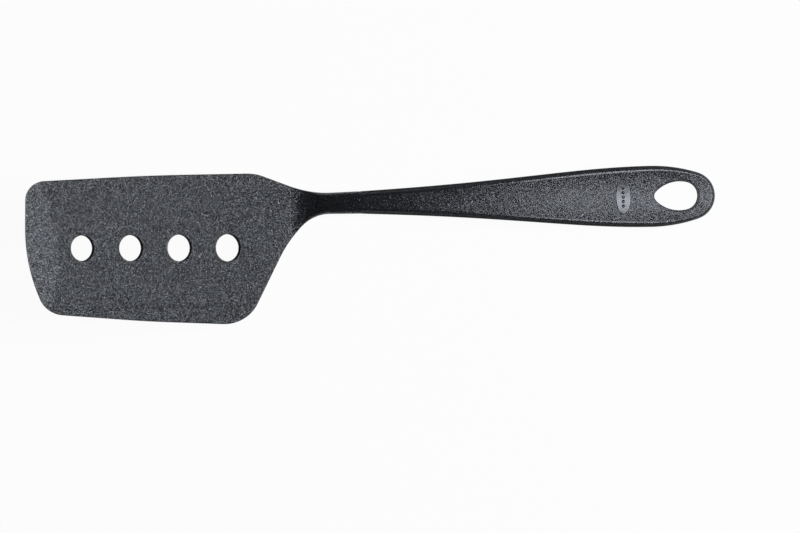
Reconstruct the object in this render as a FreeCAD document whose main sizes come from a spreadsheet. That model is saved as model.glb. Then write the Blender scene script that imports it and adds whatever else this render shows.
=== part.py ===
"""Grill spatula: a nylon turner with a cranked neck and a two-shell handle.

The model is drawn about the heel, the low bend between blade and neck, and is
moved at the end so that the middle of its footprint is the origin.  X runs
along the handle, from the blade's front edge to the hanging hole; Z is up.
The spatula lies as it does on a table: tipped back on its heel and on the end
of its handle, with the blade's front edge in the air.

Every piece is the overlap of two views.  Its side view is a band between two
paths of lines and arcs, and its plan view is an outline looked at from above.
"""

import FreeCAD, Part
import math
import os
import Sketcher
from FreeCAD import Placement, Rotation, Vector

# Lengths are in millimetres and angles in degrees.
DIMENSIONS = {
    # side view, from the heel at x = 0
    "blade_tilt": 30.0,
    "blade_thickness": 1.8,
    "blade_taper": 0.25,
    "blade_front": 119.0,
    "heel_radius": 9.0,
    "crease_x": 6.8,
    "crease_radius": 1.0,
    "crease_end": 6.0,
    "hollow_radius": 17.0,
    "neck_rise": 33.0,
    "neck_length": 3.0,
    "neck_thickness": 6.2,
    "shoulder_radius": 60.0,
    "back_crest": 8.0,
    "back_radius": 326.8,
    "face_crest": 11.8,
    "face_radius": 259.0,
    "path_end": 185.0,
    "path_spare": 2.0,
    "above_face": 5.0,
    "blank_width": 150.0,
    "blank_height": 200.0,
    "blank_margin": 5.0,
    # plan view of the neck and the handle
    "joint_x": 24.6,
    "joint_half": 4.9,
    "widest_x": 151.0,
    "widest_half": 13.3,
    "tip_x": 178.2,
    "tip_radius": 10.6,
    "joint_overrun": 3.0,
    "shell_gap": 0.1,
    # shells and tang
    "floor_thickness": 1.8,
    "face_thickness": 1.6,
    "rim_at_joint": 2.4,
    "rim_at_tip": 1.8,
    "ledge": 0.7,
    "rim_chamfer": 1.3,
    "back_fillet": 2.0,
    "tang_thickness": 2.6,
    "tang_half": 1.7,
    "tang_growth": 2.6,
    "tang_end": 112.0,
    # locating pins
    "pin_first_x": 45.0,
    "pin_pitch": 30.0,
    "pin_radius": 1.5,
    "pin_gap": 0.05,
    "pin_foot": 0.8,
    "pin_length": 5.6,
    "boss_radius": 2.6,
    "boss_root": 0.5,
    # hanging hole, egg shaped
    "hang_nose_x": 155.1,
    "hang_nose_radius": 3.3,
    "hang_end_x": 165.4,
    "hang_end_radius": 6.6,
    "hang_side_radius": 15.5,
    "hang_lean": 11.0,
    "collar": 2.2,
    # oval badge
    "badge_x": 139.3,
    "badge_half_length": 3.3,
    "badge_half_width": 7.3,
    "badge_recess": 0.8,
    "badge_gap": 0.1,
    "badge_sink": 0.12,
    "pip_radius": 0.5,
    "pip_pitch": 2.0,
    "pip_rise": 0.2,
    "pip_root": 0.3,
    # drain holes, measured along the blade from the heel
    "drain_first": 38.3,
    "drain_pitch": 23.5,
    "drain_side": 18.5,
    "drain_drift": 0.38,
    "drain_radius": 5.95,
    "drain_shrink": 0.12,
    # bevels that thin the blade toward its edges
    "front_bevel_radius": 72.0,
    "front_bevel_x": 103.0,
    "front_bevel_y": 22.0,
    "front_bevel_depth": 0.5,
    "front_bevel_width": 17.0,
    "side_bevel_depth": 0.45,
    "side_bevel_near": 7.5,
    "side_bevel_far": 42.5,
    "side_bevel_width": 9.0,
}

# The blade's outline in plan: corners as x, y and radius, against the clock.
BLADE_CORNERS = [
    ("neck_top", 1.4, 4.3, 48.0),
    ("shoulder_top", -21.2, 13.6, 18.5),
    ("side_top", -65.0, 13.7, 900.0),
    ("front_top", -117.6, 11.9, 8.4),
    ("front_middle", -118.5, -23.2, 78.0),
    ("front_bottom", -110.1, -45.7, 11.4),
    ("side_bottom", -68.0, -49.8, 450.0),
    ("rear_bottom", -25.85, -52.25, 15.4),
    ("rear_middle", -8.1, -16.4, 51.0),
    ("neck_bottom", 2.8, -4.65, 18.0),
]
# The handle's half width at these places between the joint and its widest point.
HANDLE_STATIONS = [(42.4, 5.8), (73.9, 7.85), (105.0, 10.55), (130.0, 12.6)]
PIN_COUNT = 3
DRAIN_COUNT = 4
PIP_COUNT = 5

doc = FreeCAD.newDocument("grill_spatula")
sheet = doc.addObject("Spreadsheet::Sheet", "dims")
for corner, x, y, radius in BLADE_CORNERS:
    DIMENSIONS.update({corner + "_x": x, corner + "_y": y, corner + "_radius": radius})
for row, (alias, value) in enumerate(DIMENSIONS.items(), start=1):
    sheet.set("A%d" % row, alias)
    sheet.set("B%d" % row, str(value))
    sheet.setAlias("B%d" % row, alias)
doc.recompute()


def size(alias):
    """Return a driving dimension from the sheet."""
    return float(sheet.get(alias))


def bind(feature, prop, alias):
    """Tie a feature's size to a cell of the sheet."""
    feature.setExpression(prop, "dims." + alias)


# ------------------------------------------------------------ side-view paths
def walk(start, moves):
    """Follow moves from a knot (x, z, heading) and return every knot passed.

    A move ("line", length) goes straight on.  A move ("arc", radius, heading)
    turns along a circle until it points along the new heading.
    """
    knots = [start]
    for move in moves:
        x, z, heading = knots[-1]
        if move[0] == "line":
            x += move[1] * math.cos(heading)
            z += move[1] * math.sin(heading)
        else:
            radius = move[1] if move[2] < heading else -move[1]
            x += radius * (math.sin(heading) - math.sin(move[2]))
            z += radius * (math.cos(move[2]) - math.cos(heading))
            heading = move[2]
        knots.append((x, z, heading))
    return knots


def shifted(knots, distance):
    """Move a path sideways, to its left when distance is positive."""
    return [(x - distance * math.sin(a), z + distance * math.cos(a), a) for x, z, a in knots]


def knot_at(knots, x):
    """Return the knot where the path crosses the upright line at x."""
    for (x0, z0, a0), (x1, z1, a1) in zip(knots, knots[1:]):
        if x0 <= x <= x1:
            if abs(a1 - a0) < 1e-9:
                return (x, z0 + (x - x0) * math.tan(a0), a0)
            radius = (x1 - x0) / (math.sin(a0) - math.sin(a1))
            angle = math.asin(math.sin(a0) - (x - x0) / radius)
            return (x, z0 + radius * (math.cos(angle) - math.cos(a0)), angle)
    raise ValueError("the path doesn't reach x = %g" % x)


def clipped(knots, low, high):
    """Return the part of a path between two upright lines."""
    inner = [knot for knot in knots if low < knot[0] < high]
    return [knot_at(knots, low)] + inner + [knot_at(knots, high)]


def path_edges(knots):
    """Turn knots into sketch geometry, one line or arc for each pair."""
    edges = []
    for (x0, z0, a0), (x1, z1, a1) in zip(knots, knots[1:]):
        start, stop = Vector(x0, z0, 0), Vector(x1, z1, 0)
        if abs(a1 - a0) < 1e-9:
            edges.append(Part.LineSegment(start, stop))
            continue
        radius = (x1 - x0) / (math.sin(a0) - math.sin(a1))
        middle_angle = (a0 + a1) / 2
        middle = Vector(x0 + radius * (math.sin(a0) - math.sin(middle_angle)),
                        z0 + radius * (math.cos(middle_angle) - math.cos(a0)), 0)
        edges.append(Part.Arc(start, middle, stop))
    return edges


def band_edges(lower, upper):
    """Close the strip between a lower and an upper path with upright ends."""
    corners = [Vector(k[0], k[1], 0) for k in (lower[-1], upper[-1], upper[0], lower[0])]
    ends = [Part.LineSegment(corners[0], corners[1]), Part.LineSegment(corners[2], corners[3])]
    return path_edges(lower) + path_edges(upper) + ends


def back_path():
    """Path of the underside: blade, heel, neck, shoulder and handle."""
    tilt, rise = math.radians(size("blade_tilt")), math.radians(size("neck_rise"))
    crest, heel = math.radians(size("back_crest")), size("heel_radius")
    reach = size("back_radius")
    heel_start = (-heel * math.sin(tilt), heel * (1 - math.cos(tilt)), -tilt)
    run = (size("blade_front") + heel_start[0]) / math.cos(tilt)
    front = (heel_start[0] - run * math.cos(tilt), heel_start[1] + run * math.sin(tilt), -tilt)
    shoulder = walk(front, [("line", run), ("arc", heel, rise), ("line", size("neck_length")),
                            ("arc", size("shoulder_radius"), crest)])
    fall = math.asin(math.sin(crest) - (size("path_end") - shoulder[-1][0]) / reach)
    return shoulder + walk(shoulder[-1], [("arc", reach, fall)])[1:]


def bridge(knot, radius, goal):
    """Join a knot to a goal by a hollow arc of a given radius and a crest arc.

    The centres of two arcs that touch lie as far apart as the sum of their
    radii, which fixes the radius of the crest.
    """
    centre = Vector(knot[0] - radius * math.sin(knot[2]), knot[1] + radius * math.cos(knot[2]), 0)
    square = Vector(math.sin(goal[2]), -math.cos(goal[2]), 0)
    way = Vector(goal[0], goal[1], 0) - centre
    crest = (way.dot(way) - radius ** 2) / (2 * (radius - way.dot(square)))
    line = way + square * crest
    return walk(knot, [("arc", radius, math.atan2(line.x, -line.y)), ("arc", crest, goal[2])])[1:]


def face_path():
    """Path of the top: blade, crease, the hollow above the heel, neck and handle."""
    rise, level = math.radians(size("neck_rise")), -math.radians(size("crease_end"))
    slope = math.radians(size("blade_tilt") - size("blade_taper"))
    crest, reach = math.radians(size("face_crest")), size("face_radius")
    back = back_path()
    blade = shifted(back, size("blade_thickness"))[1]
    crease_z = blade[1] + (blade[0] + size("crease_x")) * math.tan(slope)
    tangent = size("crease_radius") * math.tan((slope + level) / 2)
    run = (size("blade_front") - size("crease_x")) / math.cos(slope)
    front = (-size("blade_front"), crease_z + run * math.sin(slope), -slope)
    blade = walk(front, [("line", run - tangent), ("arc", size("crease_radius"), level)])
    centre = shifted(back, -size("shoulder_radius"))[3]
    radius = size("shoulder_radius") + size("neck_thickness")
    shoulder = shifted([(centre[0], centre[1], crest)], radius)[0]
    fall = math.asin(math.sin(crest) - (size("path_end") - shoulder[0]) / reach)
    return (blade + bridge(blade[-1], size("hollow_radius"), shoulder)
            + walk(shoulder, [("arc", reach, fall)])[1:])


BACK = back_path()
FACE = face_path()
HANDLE_LOW = size("joint_x") - size("joint_overrun")
HANDLE_HIGH = size("path_end") - size("path_spare")


def handle_band(lower, upper, low=HANDLE_LOW, high=HANDLE_HIGH):
    """Side view of a handle layer between two paths, from x = low to high."""
    return band_edges(clipped(lower, low, high), clipped(upper, low, high))


# ---------------------------------------------------------- plan-view outlines
def rounded_outline(corners, open_ends):
    """Lines and arcs round corners (x, y, radius), ended by two plain points."""
    points = [Vector(x, y, 0) for x, y in open_ends]
    path = [(points[0], 0)] + [(Vector(x, y, 0), r) for x, y, r in corners] + [(points[1], 0)]
    edges, last = [], path[0][0]
    for (before, _), (corner, radius), (after, _) in zip(path, path[1:], path[2:]):
        inward, outward = (corner - before).normalize(), (after - corner).normalize()
        turn = inward.getAngle(outward)
        tangent = radius * math.tan(turn / 2)
        start, stop = corner - inward * tangent, corner + outward * tangent
        middle_way = (outward - inward).normalize()
        middle = corner + middle_way * (radius / math.cos(turn / 2) - radius)
        edges += [Part.LineSegment(last, start), Part.Arc(start, middle, stop)]
        last = stop
    edges.append(Part.LineSegment(last, path[-1][0]))
    return edges


def handle_outline(inset_joint, inset_tip):
    """Plan of the handle, taken in by an inset that grows from joint to tip.

    Each side is a smooth curve through the stations, then a long arc; one
    smaller arc closes the tip and touches both.
    """
    joint, widest = size("joint_x"), size("widest_x")
    half, tip = size("widest_half"), size("tip_radius")
    stations = [(joint, size("joint_half"))] + HANDLE_STATIONS + [(widest, half)]
    growth = (inset_tip - inset_joint) / (widest - joint)
    side = [Vector(x, w - inset_joint - growth * (x - joint), 0) for x, w in stations]
    ahead = size("tip_x") - tip - widest
    side_radius = (ahead ** 2 + half ** 2 - tip ** 2) / (2 * (half - tip))
    centre = Vector(widest, half - side_radius, 0)
    way = (Vector(widest + ahead, 0, 0) - centre).normalize()
    touch = centre + way * (side_radius - inset_tip)
    mid_way = (way + Vector(0, 1, 0)).normalize()
    bulge = centre + mid_way * (side_radius - inset_tip)
    tip_point = Vector(size("tip_x") - inset_tip, 0, 0)
    edges = []
    for sign in (1, -1):
        mirror = lambda p: Vector(p.x, sign * p.y, 0)
        curve = Part.BSplineCurve()
        slope = (side[1] - side[0]).normalize()
        curve.interpolate(Points=[mirror(p) for p in side], InitialTangent=mirror(slope),
                          FinalTangent=Vector(1, 0, 0))
        entry = mirror(Vector(HANDLE_LOW - 1, side[0].y, 0))
        edges += [Part.LineSegment(entry, mirror(side[0])), curve,
                  Part.Arc(mirror(side[-1]), mirror(bulge), mirror(touch))]
    edges.append(Part.Arc(touch, tip_point, Vector(touch.x, -touch.y, 0)))
    edges.append(Part.LineSegment(Vector(HANDLE_LOW - 1, -side[0].y, 0),
                                  Vector(HANDLE_LOW - 1, side[0].y, 0)))
    return edges


def egg_outline(grow=0.0):
    """Plan of the hanging hole: two end arcs joined by two long side arcs."""
    nose = Vector(size("hang_nose_x"), 0, 0)
    end = Vector(size("hang_end_x"), 0, 0)
    side = size("hang_side_radius")
    to_nose, to_end = side - size("hang_nose_radius"), side - size("hang_end_radius")
    span = end.x - nose.x
    along = (to_nose ** 2 - to_end ** 2 + span ** 2) / (2 * span)
    centre = Vector(nose.x + along, -math.sqrt(to_nose ** 2 - along ** 2), 0)
    nose_touch = centre + (nose - centre).normalize() * (side + grow)
    end_touch = centre + (end - centre).normalize() * (side + grow)
    middle_way = ((nose - centre).normalize() + (end - centre).normalize()).normalize()
    middle = centre + middle_way * (side + grow)
    flip = lambda p: Vector(p.x, -p.y, 0)
    nose_tip = nose - Vector(size("hang_nose_radius") + grow, 0, 0)
    end_tip = end + Vector(size("hang_end_radius") + grow, 0, 0)
    return [Part.Arc(nose_touch, middle, end_touch), Part.Arc(end_touch, end_tip, flip(end_touch)),
            Part.Arc(flip(end_touch), flip(middle), flip(nose_touch)),
            Part.Arc(flip(nose_touch), nose_tip, nose_touch)]


def oval(half_length, half_width):
    """Plan of the badge: an ellipse set across the handle."""
    middle = Vector(size("badge_x"), 0, 0)
    long_way = middle + Vector(0, half_width, 0)
    return [Part.Ellipse(long_way, middle + Vector(-half_length, 0, 0), middle)]


# ------------------------------------------------------------ FreeCAD objects
def join_ends(sketch):
    """Tie together the ends of neighbouring edges."""
    ends = []
    for index, edge in enumerate(sketch.Geometry):
        if not edge.isClosed():
            ends += [(index, side, sketch.getPoint(index, side)) for side in (1, 2)]
    for number, (index, side, point) in enumerate(ends):
        for other, other_side, other_point in ends[number + 1:]:
            if point.distanceToPoint(other_point) < 1e-5:
                sketch.addConstraint(
                    Sketcher.Constraint("Coincident", index, side, other, other_side))


def body_sketch(body, name, role, edges, offset=None):
    """Draw edges in a sketch on one of the body's own origin planes."""
    sketch = body.newObject("Sketcher::SketchObject", name)
    plane = [item for item in body.Origin.OriginFeatures if item.Role == role][0]
    sketch.AttachmentSupport = [(plane, "")]
    sketch.MapMode = "FlatFace"
    if offset is not None:
        sketch.AttachmentOffset = offset
    sketch.addGeometry(edges, False)
    join_ends(sketch)
    return sketch


def bind_radius(sketch, index, alias):
    """Hold a circle or arc of a sketch at a radius from the sheet."""
    number = sketch.addConstraint(Sketcher.Constraint("Radius", index, size(alias)))
    sketch.setExpression("Constraints[%d]" % number, "dims." + alias)


def loose_sketch(name, edges, upright=False):
    """Draw edges in a sketch of its own, in plan or (upright) in side view."""
    sketch = doc.addObject("Sketcher::SketchObject", name)
    if upright:
        sketch.Placement = Placement(Vector(), Rotation(Vector(1, 0, 0), 90))
    sketch.addGeometry(edges, False)
    join_ends(sketch)
    return sketch


def extrusion(name, sketch, way, alias):
    """Extrude a sketch both ways, by the length in a cell."""
    block = doc.addObject("Part::Extrusion", name)
    block.Base, block.DirMode, block.Dir = sketch, "Custom", way
    block.Solid, block.Symmetric = True, True
    bind(block, "LengthFwd", alias)
    return block


def overlap(name, side_edges, plan_edges):
    """The solid that has one outline from the side and another from above."""
    side = loose_sketch(name + "_side", side_edges, upright=True)
    plan = loose_sketch(name + "_plan", plan_edges)
    block = doc.addObject("Part::Common", name)
    block.Base = extrusion(name + "_across", side, Vector(0, 1, 0), "blank_width")
    block.Tool = extrusion(name + "_up", plan, Vector(0, 0, 1), "blank_height")
    return block


def boolean(kind, name, base, tool):
    """Cut a tool from a base, or fuse them: kind is Part::Cut or Part::Fuse."""
    result = doc.addObject(kind, name)
    result.Base, result.Tool = base, tool
    return result


def circle(x, y, alias):
    """A circle for a sketch, with its radius from the sheet."""
    return Part.Circle(Vector(x, y, 0), Vector(0, 0, 1), size(alias))


def pin_places():
    """The x of every locating pin."""
    return [size("pin_first_x") + size("pin_pitch") * number for number in range(PIN_COUNT)]


def long_edges(shape, path):
    """Edges that lie on a side-view path and run along the handle."""
    found = []
    for edge in shape.Edges:
        points = edge.discretize(5)
        on_path = all(abs(knot_at(path, p.x)[1] - p.z) < 0.01 for p in points)
        if on_path and edge.BoundBox.XLength > 0.01:
            found.append(edge)
    return found


def eased(name, base):
    """Round a handle block's underside edges and slope the edges of its face."""
    doc.recompute()
    shape = base.Shape.makeFillet(size("back_fillet"), long_edges(base.Shape, BACK))
    shape.fix(1e-3, 1e-4, 1e-2)
    shape = shape.makeChamfer(size("rim_chamfer"), long_edges(shape, FACE))
    result = doc.addObject("Part::Feature", name)
    result.Shape = shape
    return result


# ----------------------------------------------------------------- sub-parts
TANG_LOW = shifted(BACK, size("floor_thickness") + size("shell_gap"))
TANG_HIGH = shifted(TANG_LOW, size("tang_thickness"))


def tang_outline():
    """Plan of the tang behind the joint, a little wider at its rounded end."""
    joint, near = size("joint_x"), size("tang_half")
    far = near + size("tang_growth")
    turn_x = size("tang_end") - far
    step = Vector(joint, size("joint_half"), 0)
    root, turn = Vector(joint, near, 0), Vector(turn_x, far, 0)
    flip = lambda p: Vector(p.x, -p.y, 0)
    return [Part.LineSegment(step, root), Part.LineSegment(root, turn),
            Part.Arc(turn, Vector(size("tang_end"), 0, 0), flip(turn)),
            Part.LineSegment(flip(turn), flip(root)), Part.LineSegment(flip(root), flip(step))]


def blade_and_tang_side():
    """Side view of the blade, the neck and the thinner tang behind it."""
    front, joint, end = -size("blade_front"), size("joint_x"), size("tang_end")
    paths = [clipped(BACK, front, joint), clipped(TANG_LOW, joint, end),
             clipped(TANG_HIGH, joint, end), clipped(FACE, front, joint)]
    corners = [(paths[0][-1], paths[1][0]), (paths[1][-1], paths[2][-1]),
               (paths[2][0], paths[3][-1]), (paths[3][0], paths[0][0])]
    edges = [edge for path in paths for edge in path_edges(path)]
    for start, stop in corners:
        edges.append(Part.LineSegment(Vector(start[0], start[1], 0), Vector(stop[0], stop[1], 0)))
    return edges


def blade_top(x):
    """Height of the blade's flat top, before its edges are bevelled."""
    return knot_at(FACE, x)[1]


def add_pocket(body, name, sketch):
    """Cut a sketch right through the body, both ways."""
    pocket = body.newObject("PartDesign::Pocket", name)
    pocket.Profile, pocket.Type, pocket.SideType = sketch, "ThroughAll", "Symmetric"
    return pocket


def make_blade_and_tang():
    """One moulding: the blade, the cranked neck and the tang in the handle."""
    body = doc.addObject("PartDesign::Body", "blade_and_tang")
    blank = body.newObject("PartDesign::Pad", "blank")
    blank.Profile = body_sketch(body, "side_view", "XZ_Plane", blade_and_tang_side())
    blank.SideType = "Symmetric"
    bind(blank, "Length", "blank_width")

    joint, half = size("joint_x"), size("joint_half")
    corners = [(x, y, radius) for _, x, y, radius in BLADE_CORNERS]
    outline = rounded_outline(corners, [(joint, half), (joint, -half)]) + tang_outline()
    margin = size("blank_margin")
    low, high = -size("blade_front") - margin, size("tang_end") + margin
    side = size("blank_width") / 2 + margin
    frame = [Vector(low, -side, 0), Vector(high, -side, 0), Vector(high, side, 0),
             Vector(low, side, 0)]
    waste = [Part.LineSegment(a, b) for a, b in zip(frame, frame[1:] + frame[:1])]
    trim = body_sketch(body, "plan_view", "XY_Plane", outline + waste)
    for number, (corner, _, _, _) in enumerate(BLADE_CORNERS):
        bind_radius(trim, 2 * number + 1, corner + "_radius")
    add_pocket(body, "trimmed", trim)

    tilt = size("blade_tilt")
    drains = []
    for number in range(DRAIN_COUNT):
        along = size("drain_first") + size("drain_pitch") * number
        aside = size("drain_side") - size("drain_drift") * number
        radius = size("drain_radius") - size("drain_shrink") * number
        drains.append(Part.Circle(Vector(-along, -aside, 0), Vector(0, 0, 1), radius))
    tilted = Placement(Vector(), Rotation(Vector(0, 1, 0), tilt))
    add_pocket(body, "drain_holes", body_sketch(body, "drains", "XY_Plane", drains, tilted))

    pins = [circle(x, 0, "pin_radius") for x in pin_places()]
    for pin in pins:
        pin.Radius += size("pin_gap")
    add_pocket(body, "pin_holes", body_sketch(body, "pins", "XY_Plane", pins))

    slope = tilt - size("blade_taper")
    radius, depth = size("front_bevel_radius"), size("front_bevel_depth")
    inner = radius - size("front_bevel_width")
    wedge = [Vector(radius, 0, 0), Vector(radius, 1, 0), Vector(inner, 1, 0),
             Vector(inner, -depth, 0)]
    crease = -size("front_bevel_x")
    apex = Vector(crease - radius * math.cos(math.radians(slope)),
                  blade_top(crease) + radius * math.sin(math.radians(slope)),
                  size("front_bevel_y"))
    upright = Placement(apex, Rotation(Vector(0, 0, 1), -slope))
    bevel = body.newObject("PartDesign::Groove", "front_bevel")
    bevel.Profile = body_sketch(body, "front_wedge", "XZ_Plane",
                                [Part.LineSegment(a, b) for a, b in zip(wedge, wedge[1:] + wedge[:1])],
                                upright)
    bevel.ReferenceAxis = (bevel.Profile[0], ["V_Axis"])
    bevel.Angle = 360

    depth, width = size("side_bevel_depth"), size("side_bevel_width")
    wedges = []
    for sign, near in ((1, size("side_bevel_near")), (-1, size("side_bevel_far"))):
        corners = [Vector(sign * near, 0, 0), Vector(sign * (near + width), -depth, 0),
                   Vector(sign * (near + width), 1, 0), Vector(sign * near, 1, 0)]
        wedges += [Part.LineSegment(a, b) for a, b in zip(corners, corners[1:] + corners[:1])]
    middle = -size("blade_front") / 2
    across = Placement(Vector(0, blade_top(middle), middle), Rotation(Vector(1, 0, 0), slope))
    add_pocket(body, "side_bevels", body_sketch(body, "side_wedges", "YZ_Plane", wedges, across))
    return body


def pin_set(name, grow):
    """The upright pins, or the bores for them when grow is more than zero."""
    pins = doc.addObject("Part::Compound", name)
    links = []
    for number, x in enumerate(pin_places(), start=1):
        pin = doc.addObject("Part::Cylinder", "%s_%d" % (name, number))
        foot = knot_at(BACK, x)[1] + size("pin_foot") - grow
        pin.Placement.Base = Vector(x, 0, foot)
        pin.setExpression("Radius", "dims.pin_radius + %g" % grow)
        pin.setExpression("Height", "dims.pin_length + %g" % (2 * grow))
        links.append(pin)
    pins.Links = links
    return pins


def make_back_shell(bores, hanging_hole):
    """The tray: underside, sides, rim and the wall round the hanging hole."""
    rim, far_rim, ledge = size("rim_at_joint"), size("rim_at_tip"), size("ledge")
    above = shifted(FACE, size("above_face"))
    outer = overlap("tray_block", handle_band(BACK, FACE, size("joint_x") + size("shell_gap")),
                    handle_outline(0, 0))
    outer = eased("tray_block_eased", outer)
    seat = overlap("face_seat", handle_band(shifted(FACE, -size("face_thickness")), above),
                   handle_outline(rim, far_rim))
    well = overlap("tang_well", handle_band(shifted(BACK, size("floor_thickness")), above),
                   handle_outline(rim + ledge, far_rim + ledge))
    collar = extrusion("collar", loose_sketch("collar_plan", egg_outline(size("collar"))),
                       Vector(0, 0, 1), "blank_height")
    hollow = boolean("Part::Cut", "well_round_collar", well, collar)
    tray = boolean("Part::Cut", "tray_with_seat", outer, seat)
    tray = boolean("Part::Cut", "tray_with_well", tray, hollow)
    tray = boolean("Part::Cut", "tray_with_hole", tray, hanging_hole)
    return boolean("Part::Cut", "handle_back_shell", tray, bores)


def make_front_shell(bores, hanging_hole):
    """The face plate that closes the tray, with its pin bosses underneath."""
    gap = size("shell_gap")
    inner = shifted(FACE, -size("face_thickness"))
    plate = overlap("face_plate", handle_band(inner, FACE, size("joint_x") + gap),
                    handle_outline(size("rim_at_joint") + gap, size("rim_at_tip") + gap))
    bosses = overlap("bosses", handle_band(shifted(TANG_HIGH, gap),
                                           shifted(inner, size("boss_root")), high=size("tang_end")),
                     [circle(x, 0, "boss_radius") for x in pin_places()])
    recess = overlap("badge_recess",
                     handle_band(shifted(FACE, -size("badge_recess")),
                                 shifted(FACE, size("above_face"))),
                     oval(size("badge_half_length"), size("badge_half_width")))
    face = boolean("Part::Fuse", "plate_with_bosses", plate, bosses)
    face = boolean("Part::Cut", "plate_with_recess", face, recess)
    face = boolean("Part::Cut", "plate_with_hole", face, hanging_hole)
    return boolean("Part::Cut", "handle_front_shell", face, bores)


def make_badge():
    """A bare oval plate sunk in the face, with a row of plain pips."""
    gap, place = size("badge_gap"), size("badge_x")
    low, high = shifted(FACE, gap / 2 - size("badge_recess")), shifted(FACE, -size("badge_sink"))
    plate = overlap("badge_blank", handle_band(low, high),
                    oval(size("badge_half_length") - gap, size("badge_half_width") - gap))
    pips = doc.addObject("Part::MultiFuse", "badge_plate")
    shapes = [plate]
    for number in range(PIP_COUNT):
        pip = doc.addObject("Part::Cylinder", "pip_%d" % (number + 1))
        across = (number - (PIP_COUNT - 1) / 2) * size("pip_pitch")
        pip.Placement.Base = Vector(place, across, knot_at(high, place)[1] - size("pip_root"))
        bind(pip, "Radius", "pip_radius")
        pip.setExpression("Height", "dims.pip_rise + dims.pip_root")
        shapes.append(pip)
    pips.Shapes = shapes
    return pips


def leaning_hole():
    """The tool for the hanging hole: the egg, drawn at the face, along a leaning line."""
    plan = loose_sketch("hole_plan", egg_outline())
    plan.Placement.Base = Vector(0, 0, knot_at(FACE, size("hang_end_x"))[1])
    lean = math.radians(size("hang_lean"))
    return extrusion("hanging_hole", plan, Vector(math.sin(lean), 0, math.cos(lean)),
                     "blank_height")


hole = leaning_hole()
pin_bores = pin_set("pin_bores", size("pin_gap"))
pieces = [make_blade_and_tang(), make_back_shell(pin_bores, hole),
          make_front_shell(pin_bores, hole), pin_set("locating_pins", 0.0), make_badge()]
doc.recompute()

faults = [item.Name for item in doc.Objects if {"Invalid", "Error"} & set(item.State)]
if faults:
    raise RuntimeError("these objects failed: " + ", ".join(faults))

whole = FreeCAD.BoundBox()
for piece in pieces:
    if piece.Shape.isNull() or not piece.Shape.isValid():
        raise RuntimeError("bad shape: " + piece.Label)
    whole.add(piece.Shape.optimalBoundingBox(False))
middle = Vector(-whole.Center.x, -whole.Center.y, -whole.ZMin)
for piece in pieces:
    piece.Placement = Placement(middle, Rotation())
doc.recompute()

os.makedirs("parts", exist_ok=True)
for piece in pieces:
    piece.Shape.exportStep("parts/%s.step" % piece.Label)
    print("%s: %d solid(s), %.0f mm3" % (piece.Label, len(piece.Shape.Solids), piece.Shape.Volume))
print("whole: %.1f x %.1f x %.1f mm" % (whole.XLength, whole.YLength, whole.ZLength))
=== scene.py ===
# %% [markdown]
# # The finish of a grill spatula
#
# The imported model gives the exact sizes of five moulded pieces. This script
# puts the finish on them: soft edges, the shallow dish of the handle's face,
# the thinned rim of the blade and the sandy grain of glass-filled nylon.
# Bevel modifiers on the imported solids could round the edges, but not make the
# dish or the thinning. So every new piece is a surface worked out with numpy,
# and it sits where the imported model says.

import math

import bpy
import numpy as np
from mathutils import Matrix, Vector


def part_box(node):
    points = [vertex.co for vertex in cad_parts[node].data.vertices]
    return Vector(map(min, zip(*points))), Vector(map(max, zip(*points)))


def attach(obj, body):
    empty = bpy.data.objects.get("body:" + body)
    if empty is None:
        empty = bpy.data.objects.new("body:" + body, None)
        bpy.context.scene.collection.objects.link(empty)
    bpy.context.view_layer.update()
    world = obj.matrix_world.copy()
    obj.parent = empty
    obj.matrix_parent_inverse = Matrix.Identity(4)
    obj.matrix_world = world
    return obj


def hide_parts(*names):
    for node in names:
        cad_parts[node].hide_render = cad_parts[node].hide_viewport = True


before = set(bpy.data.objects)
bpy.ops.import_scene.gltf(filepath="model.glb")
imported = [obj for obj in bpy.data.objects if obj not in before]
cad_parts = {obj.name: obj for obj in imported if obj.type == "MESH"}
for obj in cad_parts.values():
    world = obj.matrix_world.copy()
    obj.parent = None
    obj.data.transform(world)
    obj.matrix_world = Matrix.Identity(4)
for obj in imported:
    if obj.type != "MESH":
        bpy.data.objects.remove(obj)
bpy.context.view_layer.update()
print("nodes:", ", ".join(sorted(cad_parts)))

# %% [markdown]
# ## One drawing for everything
#
# The spatula is drawn in millimetres about its heel, the low bend between
# blade and neck: x runs along the handle, z up from the table. The packed
# model has the middle of its footprint as origin. One shift takes the drawing
# there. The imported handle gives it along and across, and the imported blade,
# which stands on its heel, gives it upward.

# %% From the drawing to the model
MM = 0.001
TIP_X = 178.2
shell_low, shell_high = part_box("handle_back_shell")
heel_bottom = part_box("blade_and_tang")[0].z
SHIFT = np.array([shell_high.x - TIP_X * MM, (shell_low.y + shell_high.y) / 2, heel_bottom]) / MM
print("the heel is at", np.round(SHIFT, 2), "mm")

# %% [markdown]
# ## The side view
#
# Seen from the side the spatula is a band between two lines, its back and its
# face. Both are made of straights and arcs, as on a workshop drawing: the
# blade goes down at 30 degrees, turns at the heel, climbs the short neck,
# leans over at the shoulder and sinks slowly to the end of the handle. A
# spline would need guessed points; arcs need only radii and angles.

# %% Straights and arcs
def walk(knot, *moves):
    """Follows moves from a knot (x, z, heading) and returns all knots.

    A straight adds length times (cos, sin) of the heading. An arc of radius r
    that turns from heading a to b adds r (sin a - sin b) to x and
    r (cos b - cos a) to z, with r negative for a turn to the left.
    """
    knots = [knot]
    for length, radius, heading in moves:
        x, z, a = knots[-1]
        if radius is None:
            knots.append((x + length * math.cos(a), z + length * math.sin(a), a))
        else:
            r = math.copysign(radius, a - heading)
            knots.append((x + r * (math.sin(a) - math.sin(heading)),
                          z + r * (math.cos(heading) - math.cos(a)), heading))
    return knots


def straight(length):
    return (length, None, None)


def arc(radius, heading):
    return (None, radius, heading)


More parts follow.
